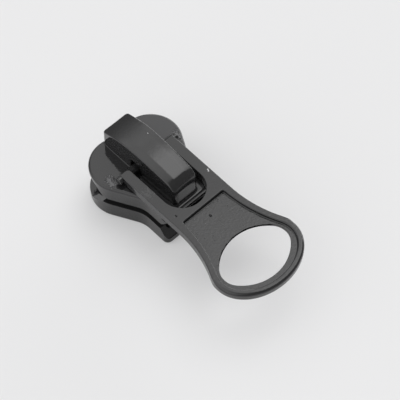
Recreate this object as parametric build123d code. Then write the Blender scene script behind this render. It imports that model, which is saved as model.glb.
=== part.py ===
from build123d import *
from math import atan2, cos, radians, sin, sqrt, tan
import os

# Automatic-lock zip fastener slider with a flat pull tab, in millimetres.
# +X runs from the shoulders to the tail, +Z up from the underside, and Y = 0 is the middle plane.
# x = 0 is the line through the centres of the two shoulder lobes.

# body outline, seen from above
shoulder_width = 15.5
lobe_radius = 4.79
lobe_offset = shoulder_width / 2 - lobe_radius
flare_angle = 28.7
tail_half_width = 4.7
tail_x = 11.75
tail_corner_radius = 0.9
waist_radius = 4.5

# body heights
body_height = 7.29
lower_plate = 1.25
upper_plate = 1.65
plate_rim = 0.65
rim_overhang = 0.2
rim_round = 0.42
underside_round = 0.35
slot_low = 3.1
slot_high = 4.05
flange_thickness = 1.0
flange_front_x = 1.0
flange_rear_x = 10.2
flange_end_slant = 1.4
lower_front_slant = 2.6
tail_lead_length = 1.5

# guide post between the two mouths
post_front_x = -3.45
post_half_width = 2.0
post_waist_x = -1.6
post_rear_x = 3.1
post_rear_half_width = 0.5
post_corner_radius = 0.4

# lugs on the top plate, and the window that the pawl's hook drops through
front_lug_half_width = 1.85
front_lug_length = 2.2
rear_lug_half_width = 1.7
rear_lug_x = 10.0
rear_lug_length = 0.8
rear_lug_height = 1.4
hook_window_x = 8.3
hook_window_length = 2.2
hook_window_half_width = 1.2

# bridge cap over the lock
cap_front_x = -4.4
cap_rear_x = 11.1
cap_half_width = 2.45
cap_rear_half_width = 2.22
cap_taper_x = 1.0
cap_wall = 0.45
cap_corner_radius = 0.75
cap_edge_radius = 0.18
cap_base_z = body_height + 0.02
cap_crown_z = 12.2
cap_crown_x = 3.2
cap_brow_drop = 1.9
cap_brow_power = 1.8
cap_sag = 0.0064
cap_sag_power = 2.4
cap_nose_x = 9.0
cap_nose_foot_x = 11.5
cap_nose_drop = 1.2
cap_flat_half_width = 1.1
cap_shoulder_slope = 0.22
cap_grid_margin = 0.6
cap_grid_rear_margin = 0.1
window_front_x = 1.3
window_rear_x = 5.7
window_top_z = 9.95
window_corner_radius = 0.5

# leaf spring: where its ends rest on the pawl, and the top of its arch
spring_front_x = -2.7
spring_rear_x = 7.5
spring_end_z = 9.76
spring_crown_x = 3.2
spring_crown_z = 11.55
spring_flank_reach = 2.8
spring_front_flank_drop = 0.66
spring_rear_flank_drop = 0.78
spring_thickness = 0.15
spring_half_width = 1.1

# locking pawl and its pivot on the front lug
pivot_x = -2.5
pivot_z = 9.2
pivot_radius = 0.45
pivot_length = 3.0
running_clearance = 0.05
pawl_thickness = 0.6
pawl_half_width = 1.0
hook_x = 8.05
hook_tip_z = 4.4
hook_tip_bevel = 0.3
hook_bend_radius = 0.55

# pull tab
tab_thickness = 1.55
tab_gap = 0.15
tab_half_width = 5.17
tab_end_half_width = 7.62
tab_end_x = 31.1
tab_end_length = 5.7
tab_flare_slope = 26.0
tab_corner_radius = 0.7
tab_edge_radius = 0.18
ring_edge_radius = 0.45
bar_radius = 0.7
bar_x = 2.6
stub_radius = 0.6
stub_half_length = 5.85
stub_round = 0.2
cap_slot_half_width = 3.4
cap_slot_rear_x = 13.4
panel_front_x = 14.35
panel_border = 1.17
ring_rim = 0.95
recess_depth = 0.57
recess_corner_radius = 0.35
recess_foot_radius = 0.12
eye_edge_radius = 0.08
eye_front_x = 20.85
eye_rear_x = 29.25
eye_arc_radius = 7.1
eye_corner_radius = 2.7

bar_z = body_height + tab_gap + tab_thickness / 2
tab_front_x = bar_x - tab_thickness / 2


def side_prism(profile, half_width):
    # a profile drawn with x along X and y up Z, run from -half_width to +half_width along Y
    return extrude(Plane.XZ * profile, amount=half_width, both=True)


def body_outline(inset):
    # two round lobes, straight flares tangent to them, then a narrow parallel tail
    radius = lobe_radius - inset
    tail_half = tail_half_width - inset
    slope = radians(flare_angle)
    leave_x = radius * sin(slope)
    leave_y = lobe_offset + radius * cos(slope)
    waist_x = leave_x + (leave_y - tail_half) / tan(slope)
    half = [(0, lobe_offset), (leave_x, leave_y), (waist_x, tail_half), (tail_x - inset, tail_half)]
    shape = make_face(Polyline(*half, *[(x, -y) for x, y in reversed(half)], close=True))
    waist = [v for v in shape.vertices() if abs(v.X - waist_x) < 0.01]
    shape = fillet(waist, waist_radius + inset)
    corners = [v for v in shape.vertices() if abs(v.X - tail_x + inset) < 0.01]
    shape = fillet(corners, tail_corner_radius - inset / 2)
    for side in (-1, 1):
        shape += Pos(0, side * lobe_offset) * Circle(radius)
    return shape


def flange_band(inset, root_z, free_z, front_slant):
    # the wall along both sides, shorter at its free edge than at its root
    wall = body_outline(inset) - body_outline(inset + flange_thickness)
    band = Pos(0, 0, min(root_z, free_z)) * extrude(wall, abs(root_z - free_z))
    side = make_face(Polyline(
        (flange_front_x - front_slant, root_z), (flange_front_x, free_z),
        (flange_rear_x, free_z), (flange_rear_x + flange_end_slant, root_z), close=True))
    return band & side_prism(side, shoulder_width)


def guide_post():
    half = [
        (post_front_x, post_half_width - post_corner_radius), (post_waist_x, post_half_width),
        (post_rear_x, post_rear_half_width)]
    plan = make_face(Polyline(*half, *[(x, -y) for x, y in reversed(half)], close=True))
    plan = fillet(plan.vertices(), post_corner_radius)
    depth = body_height - lower_plate - upper_plate
    return Pos(0, 0, lower_plate) * extrude(plan, depth)


def cap_lugs():
    # the front lug carries the pawl's pivot in a half-round groove, the rear one holds the cap
    front_height = pivot_z - body_height
    front = Box(front_lug_length, 2 * front_lug_half_width, front_height)
    front = Pos(pivot_x, 0, body_height + front_height / 2) * front
    groove = Cylinder(pivot_radius + running_clearance, 2 * front_lug_half_width)
    front -= Pos(pivot_x, 0, pivot_z) * Rot(90, 0, 0) * groove
    way_width = 2 * (pawl_half_width + 2 * running_clearance)
    strip_way = Box(front_lug_length, way_width, pawl_thickness + 2 * running_clearance)
    front -= Pos(pivot_x + front_lug_length / 2, 0, pivot_z) * strip_way
    rear = Box(rear_lug_length, 2 * rear_lug_half_width, rear_lug_height)
    return front + Pos(rear_lug_x, 0, body_height + rear_lug_height / 2) * rear


def tail_lead():
    # the slope that thins the upper plate from below where the closed chain leaves
    low = body_height - upper_plate
    profile = Polyline(
        (tail_x, body_height - plate_rim), (tail_x - tail_lead_length, low), (tail_x, low), close=True)
    return side_prism(make_face(profile), tail_half_width)


def slider_body():
    lower = extrude(body_outline(0), lower_plate)
    lower = fillet(lower.edges().group_by(Axis.Z)[0], underside_round)
    under = extrude(body_outline(rim_overhang), upper_plate - plate_rim)
    under = Pos(0, 0, body_height - upper_plate) * under
    rim = Pos(0, 0, body_height - plate_rim) * extrude(body_outline(0), plate_rim)
    rim = fillet(rim.edges().group_by(Axis.Z)[-1], rim_round)
    body = lower + under + rim + guide_post() + cap_lugs()
    body += flange_band(0, lower_plate, slot_low, lower_front_slant)
    body += flange_band(rim_overhang, body_height - upper_plate, slot_high, flange_end_slant)
    hook_window = Box(hook_window_length, 2 * hook_window_half_width, 2 * upper_plate + 1)
    body -= Pos(hook_window_x, 0, body_height) * hook_window
    return body - tail_lead()


def crown_height(x, y):
    # a power curve up from the brow, another down from the crown, then a quarter ellipse at the nose
    z = cap_crown_z - cap_shoulder_slope * max(0, abs(y) - cap_flat_half_width)
    if x < cap_crown_x:
        climb = (cap_crown_x - x) / (cap_crown_x - cap_front_x)
        return z - cap_brow_drop * climb ** cap_brow_power
    z -= cap_sag * (x - cap_crown_x) ** cap_sag_power
    past = max(0, x - cap_nose_x) / (cap_nose_foot_x - cap_nose_x)
    return z - cap_nose_drop * (1 - sqrt(1 - past ** 2))


def crown_block(lower):
    # everything below the crown, which is a smooth surface through a grid of its points
    columns = 28
    rows = 9
    front = cap_front_x - cap_grid_margin
    rear = cap_rear_x + cap_grid_rear_margin
    half = cap_half_width + cap_grid_margin
    grid = []
    for column in range(columns):
        x = front + (rear - front) * column / (columns - 1)
        across = [half * (2 * row / (rows - 1) - 1) for row in range(rows)]
        grid.append([Vector(x, y, crown_height(x, y) - lower) for y in across])
    crown = Face.make_surface_from_array_of_points(grid, tol=0.01, smoothing=None, min_deg=1, max_deg=3)
    return extrude(crown, amount=cap_crown_z, dir=(0, 0, -1))


def cap_plan(inset):
    # parallel at the front, a little narrower towards the nose
    half = cap_half_width - inset
    rear_half = cap_rear_half_width - inset
    front = cap_front_x + inset
    rear = cap_rear_x - inset
    side = [(front, half), (cap_taper_x, half), (rear, rear_half)]
    return make_face(Polyline(*side, *[(x, -y) for x, y in reversed(side)], close=True))


def cap_block(plan, lower):
    block = Pos(0, 0, cap_base_z - lower) * extrude(plan, cap_crown_z)
    return block & crown_block(lower)


def bridge_cap():
    plan = cap_plan(0)
    corners = plan.vertices().group_by(Axis.X)
    cap = cap_block(fillet(corners[0] + corners[-1], cap_corner_radius), 0)
    upper = [e for e in cap.edges() if e.center().Z > cap_base_z + 0.5 and abs(e.tangent_at(0.5).Z) < 0.95]
    cap = fillet(upper, cap_edge_radius)
    cap -= cap_block(cap_plan(cap_wall), cap_wall)
    # the window runs on below the cap's base, so that it is open there
    window_height = 2 * (window_top_z - cap_base_z)
    window = RectangleRounded(window_rear_x - window_front_x, window_height, window_corner_radius)
    window = Pos((window_front_x + window_rear_x) / 2, window_top_z - window_height / 2) * window
    return cap - side_prism(window, cap_half_width + 1)


def leaf_spring():
    # an arched strip that bears on the cap's roof and presses both ends of the pawl down
    arch = Spline(
        (spring_front_x, spring_end_z),
        (spring_crown_x - spring_flank_reach, spring_crown_z - spring_front_flank_drop),
        (spring_crown_x, spring_crown_z),
        (spring_crown_x + spring_flank_reach, spring_crown_z - spring_rear_flank_drop),
        (spring_rear_x, spring_end_z))
    steps = 12
    lower = [arch @ (i / steps) for i in range(steps + 1)]
    raised = [(p.X, p.Y + spring_thickness) for p in lower]
    strip = make_face([
        Spline(*lower), Line(lower[-1], raised[-1]), Spline(*reversed(raised)), Line(raised[0], lower[0])])
    return side_prism(strip, spring_half_width)


def locking_pawl():
    # a bent strip: pivot over the front lug, across the tab's bar, then down into the channel
    under_z = bar_z + bar_radius + running_clearance
    over_z = under_z + pawl_thickness
    half = pawl_thickness / 2
    outline = make_face(Polyline(
        (pivot_x, under_z), (hook_x - half, under_z), (hook_x - half, hook_tip_z + hook_tip_bevel),
        (hook_x, hook_tip_z), (hook_x + half, hook_tip_z + hook_tip_bevel), (hook_x + half, over_z),
        (pivot_x, over_z), close=True))
    bend = [v for v in outline.vertices() if v.X > hook_x and v.Y > over_z - 0.01]
    outline = fillet(bend, hook_bend_radius)
    pawl = side_prism(outline, pawl_half_width)
    return pawl + Pos(pivot_x, 0, pivot_z) * Rot(90, 0, 0) * Cylinder(pivot_radius, pivot_length)


def tab_outline(border, ring_border):
    # a half-oval end, with a concave arc each side that is tangent to it and to the parallel sides
    centre = tab_end_x - tab_end_length
    length = tab_end_length - ring_border
    half_width = tab_end_half_width - ring_border
    side = tab_half_width - border
    slope = radians(tab_flare_slope)
    at = atan2(half_width * cos(slope), -length * sin(slope))
    touch_x = centre + length * cos(at)
    touch_y = half_width * sin(at)
    radius = (touch_y - side) / (1 - cos(slope))
    start_x = touch_x - radius * sin(slope)
    middle = (start_x + radius * sin(slope / 2), side + radius * (1 - cos(slope / 2)))
    upper = ThreePointArc((start_x, side), middle, (touch_x, touch_y))
    lower = ThreePointArc((start_x, -side), (middle[0], -middle[1]), (touch_x, -touch_y))
    rest = Polyline((start_x, side), (tab_front_x, side), (tab_front_x, -side), (start_x, -side))
    neck = make_face([upper, rest, lower, Line((touch_x, touch_y), (touch_x, -touch_y))])
    return neck + Pos(centre, 0) * Ellipse(length, half_width)


def corner_round(shape, radius):
    # the two foremost corners of a plan outline
    return fillet(shape.vertices().group_by(Axis.X)[0], radius)


def cap_slot():
    # the gap between the two legs, round at the rear, where the bridge cap stands
    front = bar_x - tab_thickness
    centre = cap_slot_rear_x - cap_slot_half_width
    straight = Pos((front + centre) / 2, 0) * Rectangle(centre - front, 2 * cap_slot_half_width)
    return straight + Pos(centre, 0) * Circle(cap_slot_half_width)


def eye_outline():
    # two shallow arcs that meet at the sides, their corners rounded
    lens = Pos(eye_front_x + eye_arc_radius, 0) * Circle(eye_arc_radius)
    lens &= Pos(eye_rear_x - eye_arc_radius, 0) * Circle(eye_arc_radius)
    return fillet(lens.vertices(), eye_corner_radius)


def nose_trim():
    # what is cut away so that the legs end in a full round about the bar's axis
    half = tab_thickness / 2
    square = Pos(bar_x - half, 0) * Rectangle(2 * half, 2 * half + 1)
    return Pos(0, 0, bar_z) * side_prism(square - Pos(bar_x, 0) * Circle(half), tab_end_half_width)


def ring_envelope():
    # straight-sided block with a half-oval end, whose large edge rounding shapes the ring into a bead
    centre = tab_end_x - tab_end_length
    plan = Pos(centre / 2, 0) * Rectangle(centre, 2 * tab_end_half_width)
    plan += Pos(centre, 0) * Ellipse(tab_end_length, tab_end_half_width)
    block = extrude(plan, tab_thickness / 2, both=True)
    layers = block.edges().group_by(Axis.Z)
    return Pos(0, 0, bar_z) * fillet(layers[0] + layers[-1], ring_edge_radius)


def panel_recess():
    # what one face of the panel loses, with a small round where its floor meets its walls
    reach = tab_end_x - panel_front_x
    behind = Pos(panel_front_x + reach / 2, 0) * Rectangle(reach, 2 * reach)
    plan = tab_outline(panel_border, ring_rim) & behind
    cut = extrude(corner_round(plan, recess_corner_radius), tab_thickness)
    return fillet(cut.edges().group_by(Axis.Z)[0], recess_foot_radius)


def on_eye_edge(point, height):
    # true for the rims of the eye, on either face of the web
    margin = eye_edge_radius
    return abs(abs(point.Z) - height) < 0.01 and eye_front_x - margin < point.X < eye_rear_x + margin


def pull_tab():
    half = tab_thickness / 2
    plan = corner_round(tab_outline(0, 0), tab_corner_radius) - cap_slot()
    tab = extrude(plan, half, both=True)
    recess = Pos(0, 0, half - recess_depth) * panel_recess()
    tab -= recess
    tab -= mirror(recess, Plane.XY)
    layers = tab.edges().group_by(Axis.Z)
    tab = fillet(layers[0] + layers[-1], tab_edge_radius)
    tab -= extrude(eye_outline(), half, both=True)
    web = half - recess_depth
    tab = fillet([e for e in tab.edges() if on_eye_edge(e.center(), web)], eye_edge_radius)
    tab = Pos(0, 0, bar_z) * tab - nose_trim()
    tab &= ring_envelope()
    bar = Cylinder(bar_radius, 2 * cap_slot_half_width + tab_thickness / 2)
    # the bar shows as a short stub outside each leg
    bar += fillet(Cylinder(stub_radius, 2 * stub_half_length).edges().filter_by(GeomType.CIRCLE), stub_round)
    return tab + Pos(bar_x, 0, bar_z) * Rot(90, 0, 0) * bar


parts = {
    "slider_body": slider_body,
    "bridge_cap": bridge_cap,
    "leaf_spring": leaf_spring,
    "locking_pawl": locking_pawl,
    "pull_tab": pull_tab,
}

os.makedirs("parts", exist_ok=True)
for name, make in parts.items():
    export_step(make(), f"parts/{name}.step")
    print("wrote", name)
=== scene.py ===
import math
import bmesh
import bpy
import numpy as np
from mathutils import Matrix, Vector


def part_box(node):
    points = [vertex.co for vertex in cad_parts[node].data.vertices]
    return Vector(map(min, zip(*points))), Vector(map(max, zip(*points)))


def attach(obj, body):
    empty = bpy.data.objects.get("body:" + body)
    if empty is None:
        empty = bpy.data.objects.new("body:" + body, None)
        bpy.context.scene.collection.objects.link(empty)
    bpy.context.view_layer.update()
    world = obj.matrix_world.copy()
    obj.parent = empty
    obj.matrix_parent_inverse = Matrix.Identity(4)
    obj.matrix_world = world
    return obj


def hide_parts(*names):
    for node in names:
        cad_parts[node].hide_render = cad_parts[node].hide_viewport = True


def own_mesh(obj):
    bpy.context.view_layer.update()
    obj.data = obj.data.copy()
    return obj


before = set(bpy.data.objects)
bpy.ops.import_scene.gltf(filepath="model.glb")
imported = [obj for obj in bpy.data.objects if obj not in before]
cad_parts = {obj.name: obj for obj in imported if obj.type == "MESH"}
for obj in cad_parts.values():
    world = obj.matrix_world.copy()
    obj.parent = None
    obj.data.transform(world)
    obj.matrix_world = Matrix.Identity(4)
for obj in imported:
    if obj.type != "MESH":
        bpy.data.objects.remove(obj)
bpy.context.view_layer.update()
print("frame loaded:", sorted(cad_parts))


class Field:
    # one output socket; sums, products and powers of it add their Math nodes

    def __init__(self, graph, socket):
        self.graph = graph
        self.socket = socket

    def math(self, operation, first, second):
        return self.graph.node("ShaderNodeMath", {"operation": operation}, {0: first, 1: second})

    def __add__(self, other):
        return self.math("ADD", self, other)

    __radd__ = __add__

    def __sub__(self, other):
        return self.math("SUBTRACT", self, other)

    def __rsub__(self, other):
        return self.math("SUBTRACT", other, self)

    def __mul__(self, other):
        return self.math("MULTIPLY", self, other)

    __rmul__ = __mul__

    def __truediv__(self, other):
        return self.math("DIVIDE", self, other)

    def __pow__(self, other):
        return self.math("POWER", self, other)


class Graph:
    # a node tree that hands back Fields

    def __init__(self, tree):
        self.tree = tree
        tree.nodes.clear()

    def node(self, kind, settings=None, values=None, out=0):
        made = self.tree.nodes.new(kind)
        for name, value in (settings or {}).items():
            if name == "stops":
                self.fillRamp(made.color_ramp, value)
            else:
                setattr(made, name, value)
        for key, value in (values or {}).items():
            if isinstance(value, Field):
                self.tree.links.new(value.socket, made.inputs[key])
            else:
                made.inputs[key].default_value = value
        return Field(self, made.outputs[out]) if len(made.outputs) else made

    def fillRamp(self, ramp, stops):
        while len(ramp.elements) < len(stops):
            ramp.elements.new(0.5)
        for element, (place, value) in zip(ramp.elements, stops):
            element.position = place
            element.color = (value, value, value, 1)

    def place(self):
        return self.node("ShaderNodeTexCoord", out="Object")

    def noise(self, scale, detail=2.0, rough=0.5, at=None):
        return self.node("ShaderNodeTexNoise", {}, {
            "Vector": at or self.place(), "Scale": scale, "Detail": detail, "Roughness": rough})

    def smooth(self, value, low, high):
        # 0 below low, 1 above high, an S-curve between
        return self.node("ShaderNodeMapRange", {"interpolation_type": "SMOOTHSTEP"}, {
            "Value": value, "From Min": low, "From Max": high})

    def near(self, centre, inner, outer, stretch=(1, 1, 1)):
        # 1 within inner metres of centre, fading to 0 at outer
        shift = self.node("ShaderNodeVectorMath", {"operation": "SUBTRACT"}, {0: self.place(), 1: centre})
        scaled = self.node("ShaderNodeVectorMath", {"operation": "MULTIPLY"}, {0: shift, 1: stretch})
        away = self.node("ShaderNodeVectorMath", {"operation": "LENGTH"}, {0: scaled}, out="Value")
        return 1 - self.smooth(away, inner, outer)

    def mixColour(self, factor, first, second):
        values = {"Factor": factor, 6: first, 7: second}
        return self.node("ShaderNodeMix", {"data_type": "RGBA"}, values, out=2)


def newMaterial(name):
    material = bpy.data.materials.new(name)
    material.use_nodes = True
    return material, Graph(material.node_tree)


def finishSurface(graph, values):
    surface = graph.node("ShaderNodeBsdfPrincipled", {}, values)
    graph.node("ShaderNodeOutputMaterial", {}, {"Surface": surface})


enamel = {
    "black": (0.017, 0.017, 0.0175, 1),
    # a paler black, for the nibs' thin paint and for the painted sheen on one lobe
    "paleAndSheen": (0.034, 0.034, 0.036, 1),
    "ior": 1.55,
    "roughness": 0.05,
    "peelScale": 620.0,       # slow waves, about 1.6 mm across
    "peelHeight": 0.000008,
    "grainScale": 2300.0,     # fine texture, about 0.4 mm across
    "grainHeight": 0.000010,
}


def enamelBump(graph, extra=None):
    # slow waves and fine grain of sprayed and baked enamel, and any height of its own
    peel = graph.noise(enamel["peelScale"], 2.0, 0.5)
    grain = graph.noise(enamel["grainScale"], 3.0, 0.55)
    height = peel * enamel["peelHeight"] + grain * enamel["grainHeight"]
    if extra is not None:
        height = height + extra
    return height


def enamelSurface(graph, height, roughness, colour=None):
    bump = graph.node("ShaderNodeBump", {}, {"Height": height, "Distance": 1.0, "Strength": 1.0})
    finishSurface(graph, {
        "Base Color": colour or enamel["black"], "Roughness": roughness,
        "IOR": enamel["ior"], "Normal": bump})


capFinish = {
    "dullFrom": 0.0096, "dullTo": 0.0108, "roughness": 0.17,
    # place and reach of one tiny pale spot on the crown, a painted glint, and its pale colour
    "crownGlint": (0.00123, 0.00143, 0.0120), "crownGlintReach": 0.00011, "glintColour": (0.4, 0.4, 0.41, 1),
}


def capEnamel(name):
    # the nose is duller than the rest, and the crown has one tiny pale spot, a painted glint
    look = capFinish
    material, graph = newMaterial(name)
    along = graph.node("ShaderNodeSeparateXYZ", {}, {0: graph.place()}, out="X")
    dulledAndSheen = graph.smooth(along, look["dullFrom"], look["dullTo"])
    roughness = enamel["roughness"] + dulledAndSheen * (look["roughness"] - enamel["roughness"])
    # the tiny pale spot mixed in here is a painted glint on the crown
    crownGlint = graph.near(look["crownGlint"], 0.5 * look["crownGlintReach"], look["crownGlintReach"])
    enamelSurface(graph, enamelBump(graph), roughness, graph.mixColour(crownGlint, enamel["black"], look["glintColour"]))
    return material


sheenSpotLook = {
    # where the pale, dull, pitted spots of painted highlight lie beside each leg, and how wide
    "spots": (
        (0.0011, -0.0061, 0.0013), (0.0021, -0.0064, 0.0009),
        (0.0017, 0.0065, 0.0010), (0.0026, 0.0062, 0.0008)),
    "height": 0.0073,
    "scale": 3400.0,
    "pitHeight": 0.00006,
    "pale": (0.095, 0.095, 0.098, 1),
    "rough": 0.35,            # added to the paint's roughness
    "share": 0.8,
    # a lighter tone on one lobe, painted sheen: its place and reach
    "sheenPlace": (-0.0008, 0.0045, 0.0073), "sheenInner": 0.0025, "sheenOuter": 0.006,
}

raggedLook = {"strength": 3.6, "spotTo": 0.3, "fullFrom": 0.38, "fullTo": 0.62}


def raggedSpots(graph, spots, ragged, share):
    # noise breaks the spots into flakes, and does nothing where there is no spot
    look = raggedLook
    broken = (ragged - 0.5) * graph.smooth(spots, 0.0, look["spotTo"]) * look["strength"]
    return graph.smooth(spots * share + broken, look["fullFrom"], look["fullTo"])


def bodyEnamel(name):
    # the pale spots beside the legs are a painted highlight on a dull, pitted surface with a ragged outline;
    # one lobe is painted a little lighter than the other, a painted sheen
    look = sheenSpotLook
    material, graph = newMaterial(name)
    spots = 0.0
    for x, y, reach in look["spots"]:
        spots = graph.near((x, y, look["height"]), 0.0, reach) + spots
    ragged = graph.noise(look["scale"], 3.0, 0.6)
    # the pale colour of these spots is a painted highlight; their roughness and pits belong to the surface
    paleSheen = raggedSpots(graph, spots, ragged, look["share"])
    # one lobe is painted a lighter tone here, a painted sheen
    dulledAndSheen = graph.near(look["sheenPlace"], look["sheenInner"], look["sheenOuter"])
    colour = graph.mixColour(dulledAndSheen, enamel["black"], enamel["paleAndSheen"])
    colour = graph.mixColour(paleSheen, colour, look["pale"])
    pits = ragged * paleSheen * look["pitHeight"]
    enamelSurface(graph, enamelBump(graph, pits), enamel["roughness"] + paleSheen * look["rough"], colour)
    return material


panelLook = {
    "grainScale": 2600.0, "grainHeight": 0.000024, "roughness": 0.14,
    # depths below the tab's face between which the panel's finish takes over
    "sunkFrom": 0.0002, "sunkTo": 0.0005,
    # the eye's front arc, where a dark matte band of painted shade takes the place of the paint's reflection
    "arcX": 0.02795, "arcRadius": 0.0071, "arcEnd": 0.0233, "arcFade": 0.0004,
    "shadeLeast": 0.00002, "shadeWidth": 0.00010, "shadeScale": 1500.0, "paintedShade": (0.011, 0.011, 0.011, 1),
    # a pale spot on one edge, a painted glint: place and size of its two halves
    "edgeGlints": ((0.01030, 0.00476, 0.00897, 0.00020), (0.01058, 0.00468, 0.00897, 0.00022)),
    "edgeGlintRagged": 2.2, "glintColour": (0.55, 0.55, 0.56, 1),
    # a pale patch on one leg, painted sheen
    "paleSheen": (0.0074, -0.0042, 0.0090, 0.0016), "paleSheenCore": 0.2, "paleSheenShare": 0.45,
    "pale": (0.042, 0.042, 0.043, 1), "raggedScale": 3400.0,
    # two pits in the casting
    "pits": ((0.01294, -0.00398, 0.0090, 0.00022), (0.0160, -0.00013, 0.00842, 0.00026)),
    "pitDepth": 0.00022,
}


def tabEnamel(name):
    # the sunk panel keeps the casting's texture under thinner paint, and the eye's front rim carries a dark
    # matte band of painted shade; the band is nearer to the arc's centre than the arc's radius plus a ragged
    # width
    look = panelLook
    material, graph = newMaterial(name)
    place = graph.place()
    height = graph.node("ShaderNodeSeparateXYZ", {}, {0: place}, out="Z")
    along = graph.node("ShaderNodeSeparateXYZ", {}, {0: place}, out="X")
    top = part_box("pull_tab")[1][2]
    sunk = 1 - graph.smooth(height, top - look["sunkTo"], top - look["sunkFrom"])
    casting = graph.noise(look["grainScale"], 4.0, 0.65) * sunk * look["grainHeight"]
    for x, y, z, reach in look["pits"]:
        casting = casting - graph.near((x, y, z), 0.0, reach) * look["pitDepth"]
    bump = graph.node("ShaderNodeBump", {}, {
        "Height": enamelBump(graph, casting), "Distance": 1.0, "Strength": 1.0})
    glints = 0.0
    # a tiny pale spot with a ragged outline on the tab's right edge, a painted glint
    for x, y, z, reach in look["edgeGlints"]:
        glints = graph.near((x, y, z), 0.0, reach) + glints
    flakes = graph.noise(look["raggedScale"], 3.0, 0.6)
    raggedGlint = (flakes - 0.5) * graph.smooth(glints, 0.0, 0.2) * look["edgeGlintRagged"]
    glints = graph.smooth(glints + raggedGlint, 0.25, 0.45)
    # the pale patch on the leg is painted sheen
    x, y, z, reach = look["paleSheen"]
    paleAndSheen = graph.near((x, y, z), look["paleSheenCore"] * reach, reach)
    paleAndSheen = raggedSpots(graph, paleAndSheen, flakes, look["paleSheenShare"])
    colour = graph.mixColour(paleAndSheen, enamel["black"], look["pale"])
    colour = graph.mixColour(glints, colour, look["glintColour"])
    paint = graph.node("ShaderNodeBsdfPrincipled", {}, {
        "Base Color": colour, "IOR": enamel["ior"], "Normal": bump,
        "Roughness": enamel["roughness"] + sunk * (look["roughness"] - enamel["roughness"])})
    # a plain dark matte surface, painted shade in place of the rim's reflection
    paintedShade = graph.node("ShaderNodeBsdfDiffuse", {}, {"Color": look["paintedShade"]})
    flat = graph.node("ShaderNodeVectorMath", {"operation": "MULTIPLY"}, {0: place, 1: (1, 1, 0)})
    arcCentre = (look["arcX"], 0, 0)
    away = graph.node("ShaderNodeVectorMath", {"operation": "DISTANCE"}, {0: flat, 1: arcCentre}, out="Value")
    ragged = graph.smooth(graph.noise(look["shadeScale"], 3.0, 0.6), 0.40, 0.62)
    reach = look["arcRadius"] + look["shadeLeast"] + ragged * look["shadeWidth"]
    ahead = 1 - graph.smooth(along, look["arcEnd"] - look["arcFade"], look["arcEnd"])
    shadedRim = graph.smooth(reach - away, 0.0, look["shadeLeast"]) * ahead * sunk
    surface = graph.node("ShaderNodeMixShader", {}, {0: shadedRim, 1: paint, 2: paintedShade})
    graph.node("ShaderNodeOutputMaterial", {}, {"Surface": surface})
    return material


def brass(name):
    material, graph = newMaterial(name)
    grain = graph.noise(2500.0, 3.0, 0.6)
    finishSurface(graph, {
        "Base Color": graph.mixColour(grain, (0.62, 0.43, 0.16, 1), (0.78, 0.6, 0.28, 1)), "Metallic": 1.0,
        "Roughness": 0.25 + grain * 0.15})
    return material


def springSteel(name):
    material, graph = newMaterial(name)
    grain = graph.noise(4000.0, 3.0, 0.6)
    finishSurface(graph, {
        "Base Color": graph.mixColour(grain, (0.42, 0.42, 0.43, 1), (0.6, 0.6, 0.61, 1)), "Metallic": 1.0,
        "Roughness": 0.2 + grain * 0.15})
    return material


def dress(node, material):
    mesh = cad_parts[node].data
    for index in range(len(mesh.materials)):
        mesh.materials[index] = material
    if not mesh.materials:
        mesh.materials.append(material)


dress("slider_body", bodyEnamel("bodyEnamel"))
dress("pull_tab", tabEnamel("tabEnamel"))
dress("locking_pawl", brass("pawlBrass"))
print("finishes set")


def meshFromGrid(name, grid, keep=None, seam=0.000002):
    # rows of points that close round on themselves; doubles merge, so a last row may fold onto a line
    rows, columns = grid.shape[:2]
    row, column = np.meshgrid(np.arange(rows - 1), np.arange(columns), indexing="ij")
    beside = (column + 1) % columns
    quads = np.stack([
        row * columns + column, row * columns + beside,
        (row + 1) * columns + beside, (row + 1) * columns + column], axis=-1)
    quads = quads.reshape(-1, 4) if keep is None else quads[keep]
    mesh = bpy.data.meshes.new(name)
    mesh.from_pydata(grid.reshape(-1, 3).tolist(), [], quads.tolist())
    work = bmesh.new()
    work.from_mesh(mesh)
    bmesh.ops.remove_doubles(work, verts=work.verts, dist=seam)
    bmesh.ops.dissolve_degenerate(work, edges=work.edges, dist=seam / 10)
    loose = [v for v in work.verts if not v.link_faces]
    bmesh.ops.delete(work, geom=loose, context="VERTS")
    work.to_mesh(mesh)
    work.free()
    mesh.polygons.foreach_set("use_smooth", np.ones(len(mesh.polygons), dtype=bool))
    piece = bpy.data.objects.new(name, mesh)
    bpy.context.scene.collection.objects.link(piece)
    return piece


mm = 0.001

# all in millimetres; the box of bridge_cap gives the outside size, and only the foot spreads past it
capLook = {
    "wall": 0.45,
    "frontCorner": 0.45,
    "rearCorner": 0.75,
    "edge": 0.17,
    "foot": 0.13,           # paint drawn out into a small fillet along the base
    "peakX": 2.6,
    "browDrop": 1.9,
    "browPower": 1.5,
    "sag": 0.0122,
    "sagPower": 2.0,
    "noseX": 9.0,
    "noseFootX": 11.2,
    "noseDrop": 1.7,
    "flatHalf": 1.2,
    "noseLean": 0.30,       # how far the nose's top stands in front of its foot
    "noseLeanFrom": 9.4,
    "lean": 0.22,
    "leanBlend": 0.16,
    "leanFrom": -1.0,       # the shoulders grow between these two places
    "leanTo": 3.0,
    "taperX": 1.0,
    "rearHalf": 2.22,
    "windowFront": 1.65,
    "windowRear": 3.65,
    "windowTop": 9.7,
}


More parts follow.
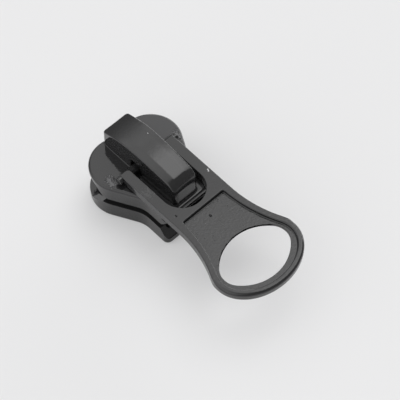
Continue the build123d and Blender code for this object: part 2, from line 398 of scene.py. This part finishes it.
def crownHeight(x, y, front, crown):
    # along the cap: one power curve up from the brow, one down past the peak, a quarter ellipse at the nose.
    # across it: flat in the middle, with shoulders that lean away along a hyperbola
    look = capLook
    climb = np.clip((look["peakX"] - x) / (look["peakX"] - front), 0, None)
    brow = look["browDrop"] * climb ** look["browPower"]
    sag = look["sag"] * np.clip(x - look["peakX"], 0, None) ** look["sagPower"]
    past = np.clip((x - look["noseX"]) / (look["noseFootX"] - look["noseX"]), 0, 1)
    nose = look["noseDrop"] * (1 - np.sqrt(1 - past ** 2))
    beyond = np.abs(y) - look["flatHalf"]
    shoulder = look["lean"] * (np.sqrt(beyond ** 2 + look["leanBlend"] ** 2) + beyond) / 2
    grown = np.clip((x - look["leanFrom"]) / (look["leanTo"] - look["leanFrom"]), 0, 1)
    return crown - brow - sag - nose - shoulder * grown ** 2 * (3 - 2 * grown)


def capOutline(front, rear, half):
    # a rectangle with round corners, walked anticlockwise from the middle of the rear
    look = capLook
    r, f = look["rearCorner"], look["frontCorner"]
    turn = np.linspace(0, math.pi / 2, 9)
    rearWall = np.linspace(0, half - r, 10)[:-1]
    frontWall = np.linspace(half - f, 0, 9)[:-1]
    runs = [
        np.linspace(rear - r, look["windowRear"], 24)[1:-1],
        np.linspace(look["windowRear"], look["windowFront"], 22),
        np.linspace(look["windowFront"], front + f, 24)[1:-1]]
    side = np.concatenate(runs)
    x = np.concatenate([
        np.full_like(rearWall, rear), rear - r + r * np.cos(turn), side,
        front + f - f * np.sin(turn), np.full_like(frontWall, front)])
    y = np.concatenate([
        rearWall, half - r + r * np.sin(turn), np.full_like(side, half),
        half - f + f * np.cos(turn), frontWall])
    x = np.concatenate([x, [front], x[:0:-1]])
    y = np.concatenate([y, [0.0], -y[:0:-1]])
    return x, y


def flattenFoot(piece, lowest):
    # the thickened wall of a flared foot dips below its base, so every height is held at the base or above
    finished = piece.evaluated_get(bpy.context.evaluated_depsgraph_get())
    mesh = bpy.data.meshes.new_from_object(finished)
    places = np.empty(len(mesh.vertices) * 3)
    mesh.vertices.foreach_get("co", places)
    places[2::3] = np.maximum(places[2::3], lowest)
    mesh.vertices.foreach_set("co", places)
    mesh.update()
    piece.modifiers.clear()
    piece.data = mesh


def capShell():
    # walls rise from the outline, then rings shrink towards the middle line under the crown's height
    look = capLook
    low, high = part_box("bridge_cap")
    front, rear, half = low[0] / mm, high[0] / mm, high[1] / mm
    base, crown = low[2] / mm - 0.015, high[2] / mm
    x, y = capOutline(front, rear, half)
    middleX = np.clip(x, front + half, rear - half)
    inwardX, inwardY = middleX - x, -y
    depth = np.hypot(inwardX, inwardY)
    inwardX, inwardY = inwardX / depth, inwardY / depth
    edge = look["edge"]
    top = crownHeight(x, y, front, crown) - edge
    rows = []

    def addRow(inset, height):
        rows.append(np.stack([x + inwardX * inset, y + inwardY * inset, height], axis=-1))

    foot = look["foot"]
    for rise in np.linspace(0, foot, 5):
        addRow(-(foot - math.sqrt(foot ** 2 - (foot - rise) ** 2)), np.full_like(x, base + rise))
    sill = np.minimum(look["windowTop"], base + 0.75 * (top - base))
    for part in np.linspace(0, 1, 6)[1:]:
        addRow(0.0, base + foot + (sill - base - foot) * part)
    sillRow = len(rows) - 1
    for part in np.linspace(0, 1, 6)[1:]:
        addRow(0.0, sill + (top - sill) * part)
    ringInsets = [edge * (1 - math.cos(a)) for a in np.linspace(0, math.pi / 2, 7)[1:]]
    ringInsets += [edge + (depth - edge) * part for part in np.linspace(0, 1, 19)[1:]]
    for inset in ringInsets:
        ringX, ringY = x + inwardX * inset, y + inwardY * inset
        fall = edge - np.sqrt(np.clip(edge ** 2 - np.clip(edge - inset, 0, None) ** 2, 0, None))
        addRow(inset, crownHeight(ringX, ringY, front, crown) - fall)
    grid = np.stack(rows)
    atNose = np.clip((grid[..., 0] - look["noseLeanFrom"]) / (rear - look["noseLeanFrom"]), 0, 1)
    noseTop = crownHeight(rear, 0, front, crown)
    risen = np.clip((grid[..., 2] - base) / (noseTop - base), 0, 1)
    grid[..., 0] -= look["noseLean"] * atNose * risen
    behind = np.clip((grid[..., 0] - look["taperX"]) / (rear - look["taperX"]), 0, 1)
    grid[..., 1] *= 1 - (1 - look["rearHalf"] / half) * behind
    centre = (grid[:-1, :, 0] + np.roll(grid[:-1, :, 0], -1, axis=1)) / 2
    inWindow = (centre > look["windowFront"]) & (centre < look["windowRear"])
    inWindow &= (np.arange(len(rows) - 1) < sillRow)[:, None]
    piece = meshFromGrid("cap_shell", grid * mm, ~inWindow)
    piece.data.materials.append(capEnamel("capEnamel"))
    wall = piece.modifiers.new("wall", "SOLIDIFY")
    wall.thickness = look["wall"] * mm
    wall.offset = -1
    wall.use_even_offset = True
    flattenFoot(piece, base * mm)
    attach(piece, "slider")
    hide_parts("bridge_cap")


capShell()
print("cap made")

# all in millimetres; the arch of leaf_spring at rest, as a fixed strip; the real spring flattens as the pawl
# lifts
springLook = {
    "frontX": -2.7, "crownX": 3.2, "rearX": 7.5, "crownZ": 11.55, "drop": 1.79,
    "frontPower": 1.34, "rearPower": 1.94, "thickness": 0.15, "halfWidth": 1.1,
    "flattenAxis": (-0.2, 0, 1), "flattenFrom": (-2.7, 0, 9.76), "flatShare": 0.4,
}


def springStrip():
    # a thin section, flat with round edges, carried along an arch of two power curves;
    # both ends close to a point
    look = springLook
    x = np.linspace(look["frontX"], look["rearX"], 60)
    reach = np.where(x < look["crownX"], look["crownX"] - look["frontX"], look["rearX"] - look["crownX"])
    power = np.where(x < look["crownX"], look["frontPower"], look["rearPower"])
    z = look["crownZ"] - look["drop"] * (np.abs(x - look["crownX"]) / reach) ** power
    turn = np.linspace(0, 2 * math.pi, 24, endpoint=False)
    across = np.sign(np.cos(turn)) * np.abs(np.cos(turn)) ** 0.25 * look["halfWidth"]
    up = np.sign(np.sin(turn)) * np.abs(np.sin(turn)) ** 0.5 * look["thickness"] / 2
    share = np.ones_like(x)
    share[[0, -1]] = 0.0
    grid = np.stack([
        np.repeat(x[:, None], turn.size, axis=1), share[:, None] * across,
        z[:, None] + look["thickness"] / 2 + share[:, None] * up], axis=-1)
    piece = meshFromGrid("spring_strip", grid * mm)
    piece.data.materials.append(springSteel("springSteel"))
    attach(piece, "slider")
    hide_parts("leaf_spring")
    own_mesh(piece)


springStrip()
print("spring made")

nibLook = {
    "seed": 7,
    "panelCount": 22, "panelFrom": (14.9, -3.6), "panelTo": (20.3, 3.6),
    "ridgeCount": 9, "ridgeX": 14.75,      # a row of specks along the front wall
    "wallSpots": [(17.3, 4.05), (19.2, 4.4), (20.2, 4.75)],
    "sunk": 0.57,                          # depth of the panel below the tab's face
    "width": (0.05, 0.10), "height": (0.03, 0.07),
    "pale": (0.09, 0.09, 0.092, 1),
    "roughness": 0.3,
}


def nibEnamel(name):
    # thin paint on rough skin: paler and duller than the rest
    material, graph = newMaterial(name)
    thin = graph.smooth(graph.noise(enamel["grainScale"], 2.0, 0.5), 0.35, 0.65)
    colour = graph.mixColour(thin, enamel["paleAndSheen"], nibLook["pale"])
    enamelSurface(graph, enamelBump(graph), nibLook["roughness"], colour)
    return material


def lumpMesh(name, places, seed):
    # each lump is a squashed ball: radius 1 plus a few low waves of random phase,
    # scaled by its own three sizes
    draw = np.random.default_rng(seed)
    turns = np.linspace(0, 2 * math.pi, 16, endpoint=False)
    climbs = np.linspace(-math.pi / 2, math.pi / 2, 9)
    around, climb = np.meshgrid(turns, climbs)
    work = bmesh.new()
    for (x, y, z), size, roughness in places:
        phase = draw.uniform(0, 2 * math.pi, 4)
        ripple = np.cos(2 * around + phase[0]) * np.cos(climb)
        ripple += 0.7 * np.cos(3 * around + phase[1]) * np.cos(climb) ** 2
        ripple += 0.8 * np.cos(4 * climb + phase[2]) * np.cos(around + phase[3]) * np.cos(climb)
        radius = 1 + roughness * ripple
        grid = np.stack([
            x + size[0] * radius * np.cos(climb) * np.cos(around),
            y + size[1] * radius * np.cos(climb) * np.sin(around),
            z + size[2] * radius * np.sin(climb)], axis=-1) * mm
        piece = meshFromGrid(name, grid)
        work.from_mesh(piece.data)
        lump = piece.data
        bpy.data.objects.remove(piece)
        bpy.data.meshes.remove(lump)
    mesh = bpy.data.meshes.new(name)
    work.to_mesh(mesh)
    work.free()
    mesh.polygons.foreach_set("use_smooth", np.ones(len(mesh.polygons), dtype=bool))
    made = bpy.data.objects.new(name, mesh)
    bpy.context.scene.collection.objects.link(made)
    return made


def castingNibs():
    # small blobs of casting skin left on the sunk panel, more of them along its front wall
    look = nibLook
    draw = np.random.default_rng(look["seed"])
    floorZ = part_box("pull_tab")[1][2] / mm - look["sunk"]
    spots = draw.uniform(look["panelFrom"], look["panelTo"], (look["panelCount"], 2)).tolist()
    for _ in range(look["ridgeCount"]):
        spots.append((look["ridgeX"] + draw.normal(0, 0.06), draw.uniform(-3.4, 3.4)))
    spots += look["wallSpots"]
    places = []
    for x, y in spots:
        width = draw.uniform(*look["width"])
        size = (width * draw.uniform(0.8, 1.5), width, draw.uniform(*look["height"]))
        places.append(((x, y, floorZ), size, 0.12))
    piece = lumpMesh("casting_nibs", places, look["seed"])
    piece.data.materials.append(nibEnamel("nibEnamel"))
    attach(piece, "tab")


flashSpots = (
    # place, size and waviness of each crumb of flash on the top plate beside the stubs
    ((1.25, -5.55, 7.27), (0.16, 0.16, 0.12), 0.15), ((2.1, -6.55, 7.22), (0.22, 0.12, 0.14), 0.15),
    ((0.7, -6.6, 7.27), (0.14, 0.12, 0.08), 0.15), ((1.6, 6.5, 7.25), (0.14, 0.14, 0.12), 0.15),
    ((2.75, 6.3, 7.22), (0.24, 0.14, 0.14), 0.15),
)


def castingFlash():
    piece = lumpMesh("casting_flash", flashSpots, 3)
    piece.data.materials.append(bodyEnamel("flashEnamel"))
    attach(piece, "slider")


castingNibs()
castingFlash()
print("casting marks made")

# seen directly, the floor is part card and part even glow, which keeps its shadows light
floorLook = {
    "size": 4.0, "colour": (0.92, 0.92, 0.925, 1), "glow": (0.66, 0.66, 0.665, 1), "glowPart": 0.43,
}


def layFloor():
    half = floorLook["size"] / 2
    mesh = bpy.data.meshes.new("floor")
    corners = [(-half, -half, 0), (half, -half, 0), (half, half, 0), (-half, half, 0)]
    mesh.from_pydata(corners, [], [(0, 1, 2, 3)])
    floor = bpy.data.objects.new("floor", mesh)
    bpy.context.scene.collection.objects.link(floor)
    material, graph = newMaterial("paleCard")
    card = graph.node("ShaderNodeBsdfDiffuse", {}, {"Color": floorLook["colour"]})
    glow = graph.node("ShaderNodeEmission", {}, {"Color": floorLook["glow"]})
    seen = graph.node("ShaderNodeLightPath", out="Is Camera Ray") * floorLook["glowPart"]
    surface = graph.node("ShaderNodeMixShader", {}, {0: seen, 1: card, 2: glow})
    graph.node("ShaderNodeOutputMaterial", {}, {"Surface": surface})
    mesh.materials.append(material)


# radiance of the surround; 1 is white
skyLook = {
    "low": 0.28,
    "lobe": 1.2,
    "lobeFrom": 0.74,
    "lobeTo": 0.97,
    "lobeToward": (-0.40, 0.34, 0.85),
    "fill": 1.2,
    "fillFrom": 0.5,
    "fillTo": 1.0,
    "fillToward": (-0.2, -0.8, 0.56),
    "strip": 5.0,
    "stripToward": (-0.36, 0.92, 0.17),
    "stripAcross": (0.92, 0.36, 0),
    "stripHalfWidth": 0.6,
    "stripHalfHeight": 0.13,
    "stripEdge": 0.03,
    "box": 1.3,
    "boxToward": (-0.05, 0.50, 0.86),
    "boxAcross": (1, 0, 0),
    "boxHalfWidth": 0.29,
    "boxHalfHeight": 0.37,
    "boxEdge": 0.07,
}


def lightSky():
    # a dim even surround, a broad bright area above and behind, and a softbox with soft edges inside it
    world = bpy.data.worlds.new("studio")
    bpy.context.scene.world = world
    world.use_nodes = True
    graph = Graph(world.node_tree)
    direction = graph.node("ShaderNodeTexCoord", out="Generated")

    def along(axis):
        vectors = {0: direction, 1: axis}
        return graph.node("ShaderNodeVectorMath", {"operation": "DOT_PRODUCT"}, vectors, out="Value")

    look = skyLook

    def lobe(name):
        # a round glow about one direction
        toward = Vector(look[name + "Toward"]).normalized()
        return graph.smooth(along(toward), look[name + "From"], look[name + "To"]) * look[name]

    def panel(name):
        # a soft-edged rectangle that faces the object from one direction
        toward = Vector(look[name + "Toward"]).normalized()
        across = Vector(look[name + "Across"])
        across = (across - toward * across.dot(toward)).normalized()
        ahead = along(toward)
        inside = graph.smooth(ahead, 0.0, 0.1)
        sides = ((across, look[name + "HalfWidth"]), (toward.cross(across), look[name + "HalfHeight"]))
        for axis, half in sides:
            away = graph.node("ShaderNodeMath", {"operation": "ABSOLUTE"}, {0: along(axis) / ahead})
            inside = inside * (1 - graph.smooth(away, half - look[name + "Edge"], half + look[name + "Edge"]))
        return inside * look[name]

    strength = look["low"] + lobe("lobe") + lobe("fill") + panel("box") + panel("strip")
    background = graph.node("ShaderNodeBackground", {}, {"Color": (1, 1, 1, 1), "Strength": strength})
    graph.node("ShaderNodeOutputWorld", {}, {"Surface": background})


cameraLook = {
    "azimuth": 46.52, "elevation": 58.33, "distance": 0.3, "lens": 181.4, "target": (0.00931, 0.00417, 0),
}


def setCamera():
    azimuth = math.radians(cameraLook["azimuth"])
    elevation = math.radians(cameraLook["elevation"])
    back = Vector((
        math.sin(azimuth) * math.cos(elevation),
        -math.cos(azimuth) * math.cos(elevation),
        math.sin(elevation)))
    data = bpy.data.cameras.new("camera")
    data.lens = cameraLook["lens"]
    data.sensor_width = 36
    data.clip_start = 0.01
    camera = bpy.data.objects.new("camera", data)
    camera.location = Vector(cameraLook["target"]) + back * cameraLook["distance"]
    camera.rotation_euler = back.to_track_quat("Z", "Y").to_euler()
    bpy.context.scene.collection.objects.link(camera)
    bpy.context.scene.camera = camera


layFloor()
lightSky()
setCamera()
bpy.context.scene.view_settings.view_transform = "Standard"
print("studio set")
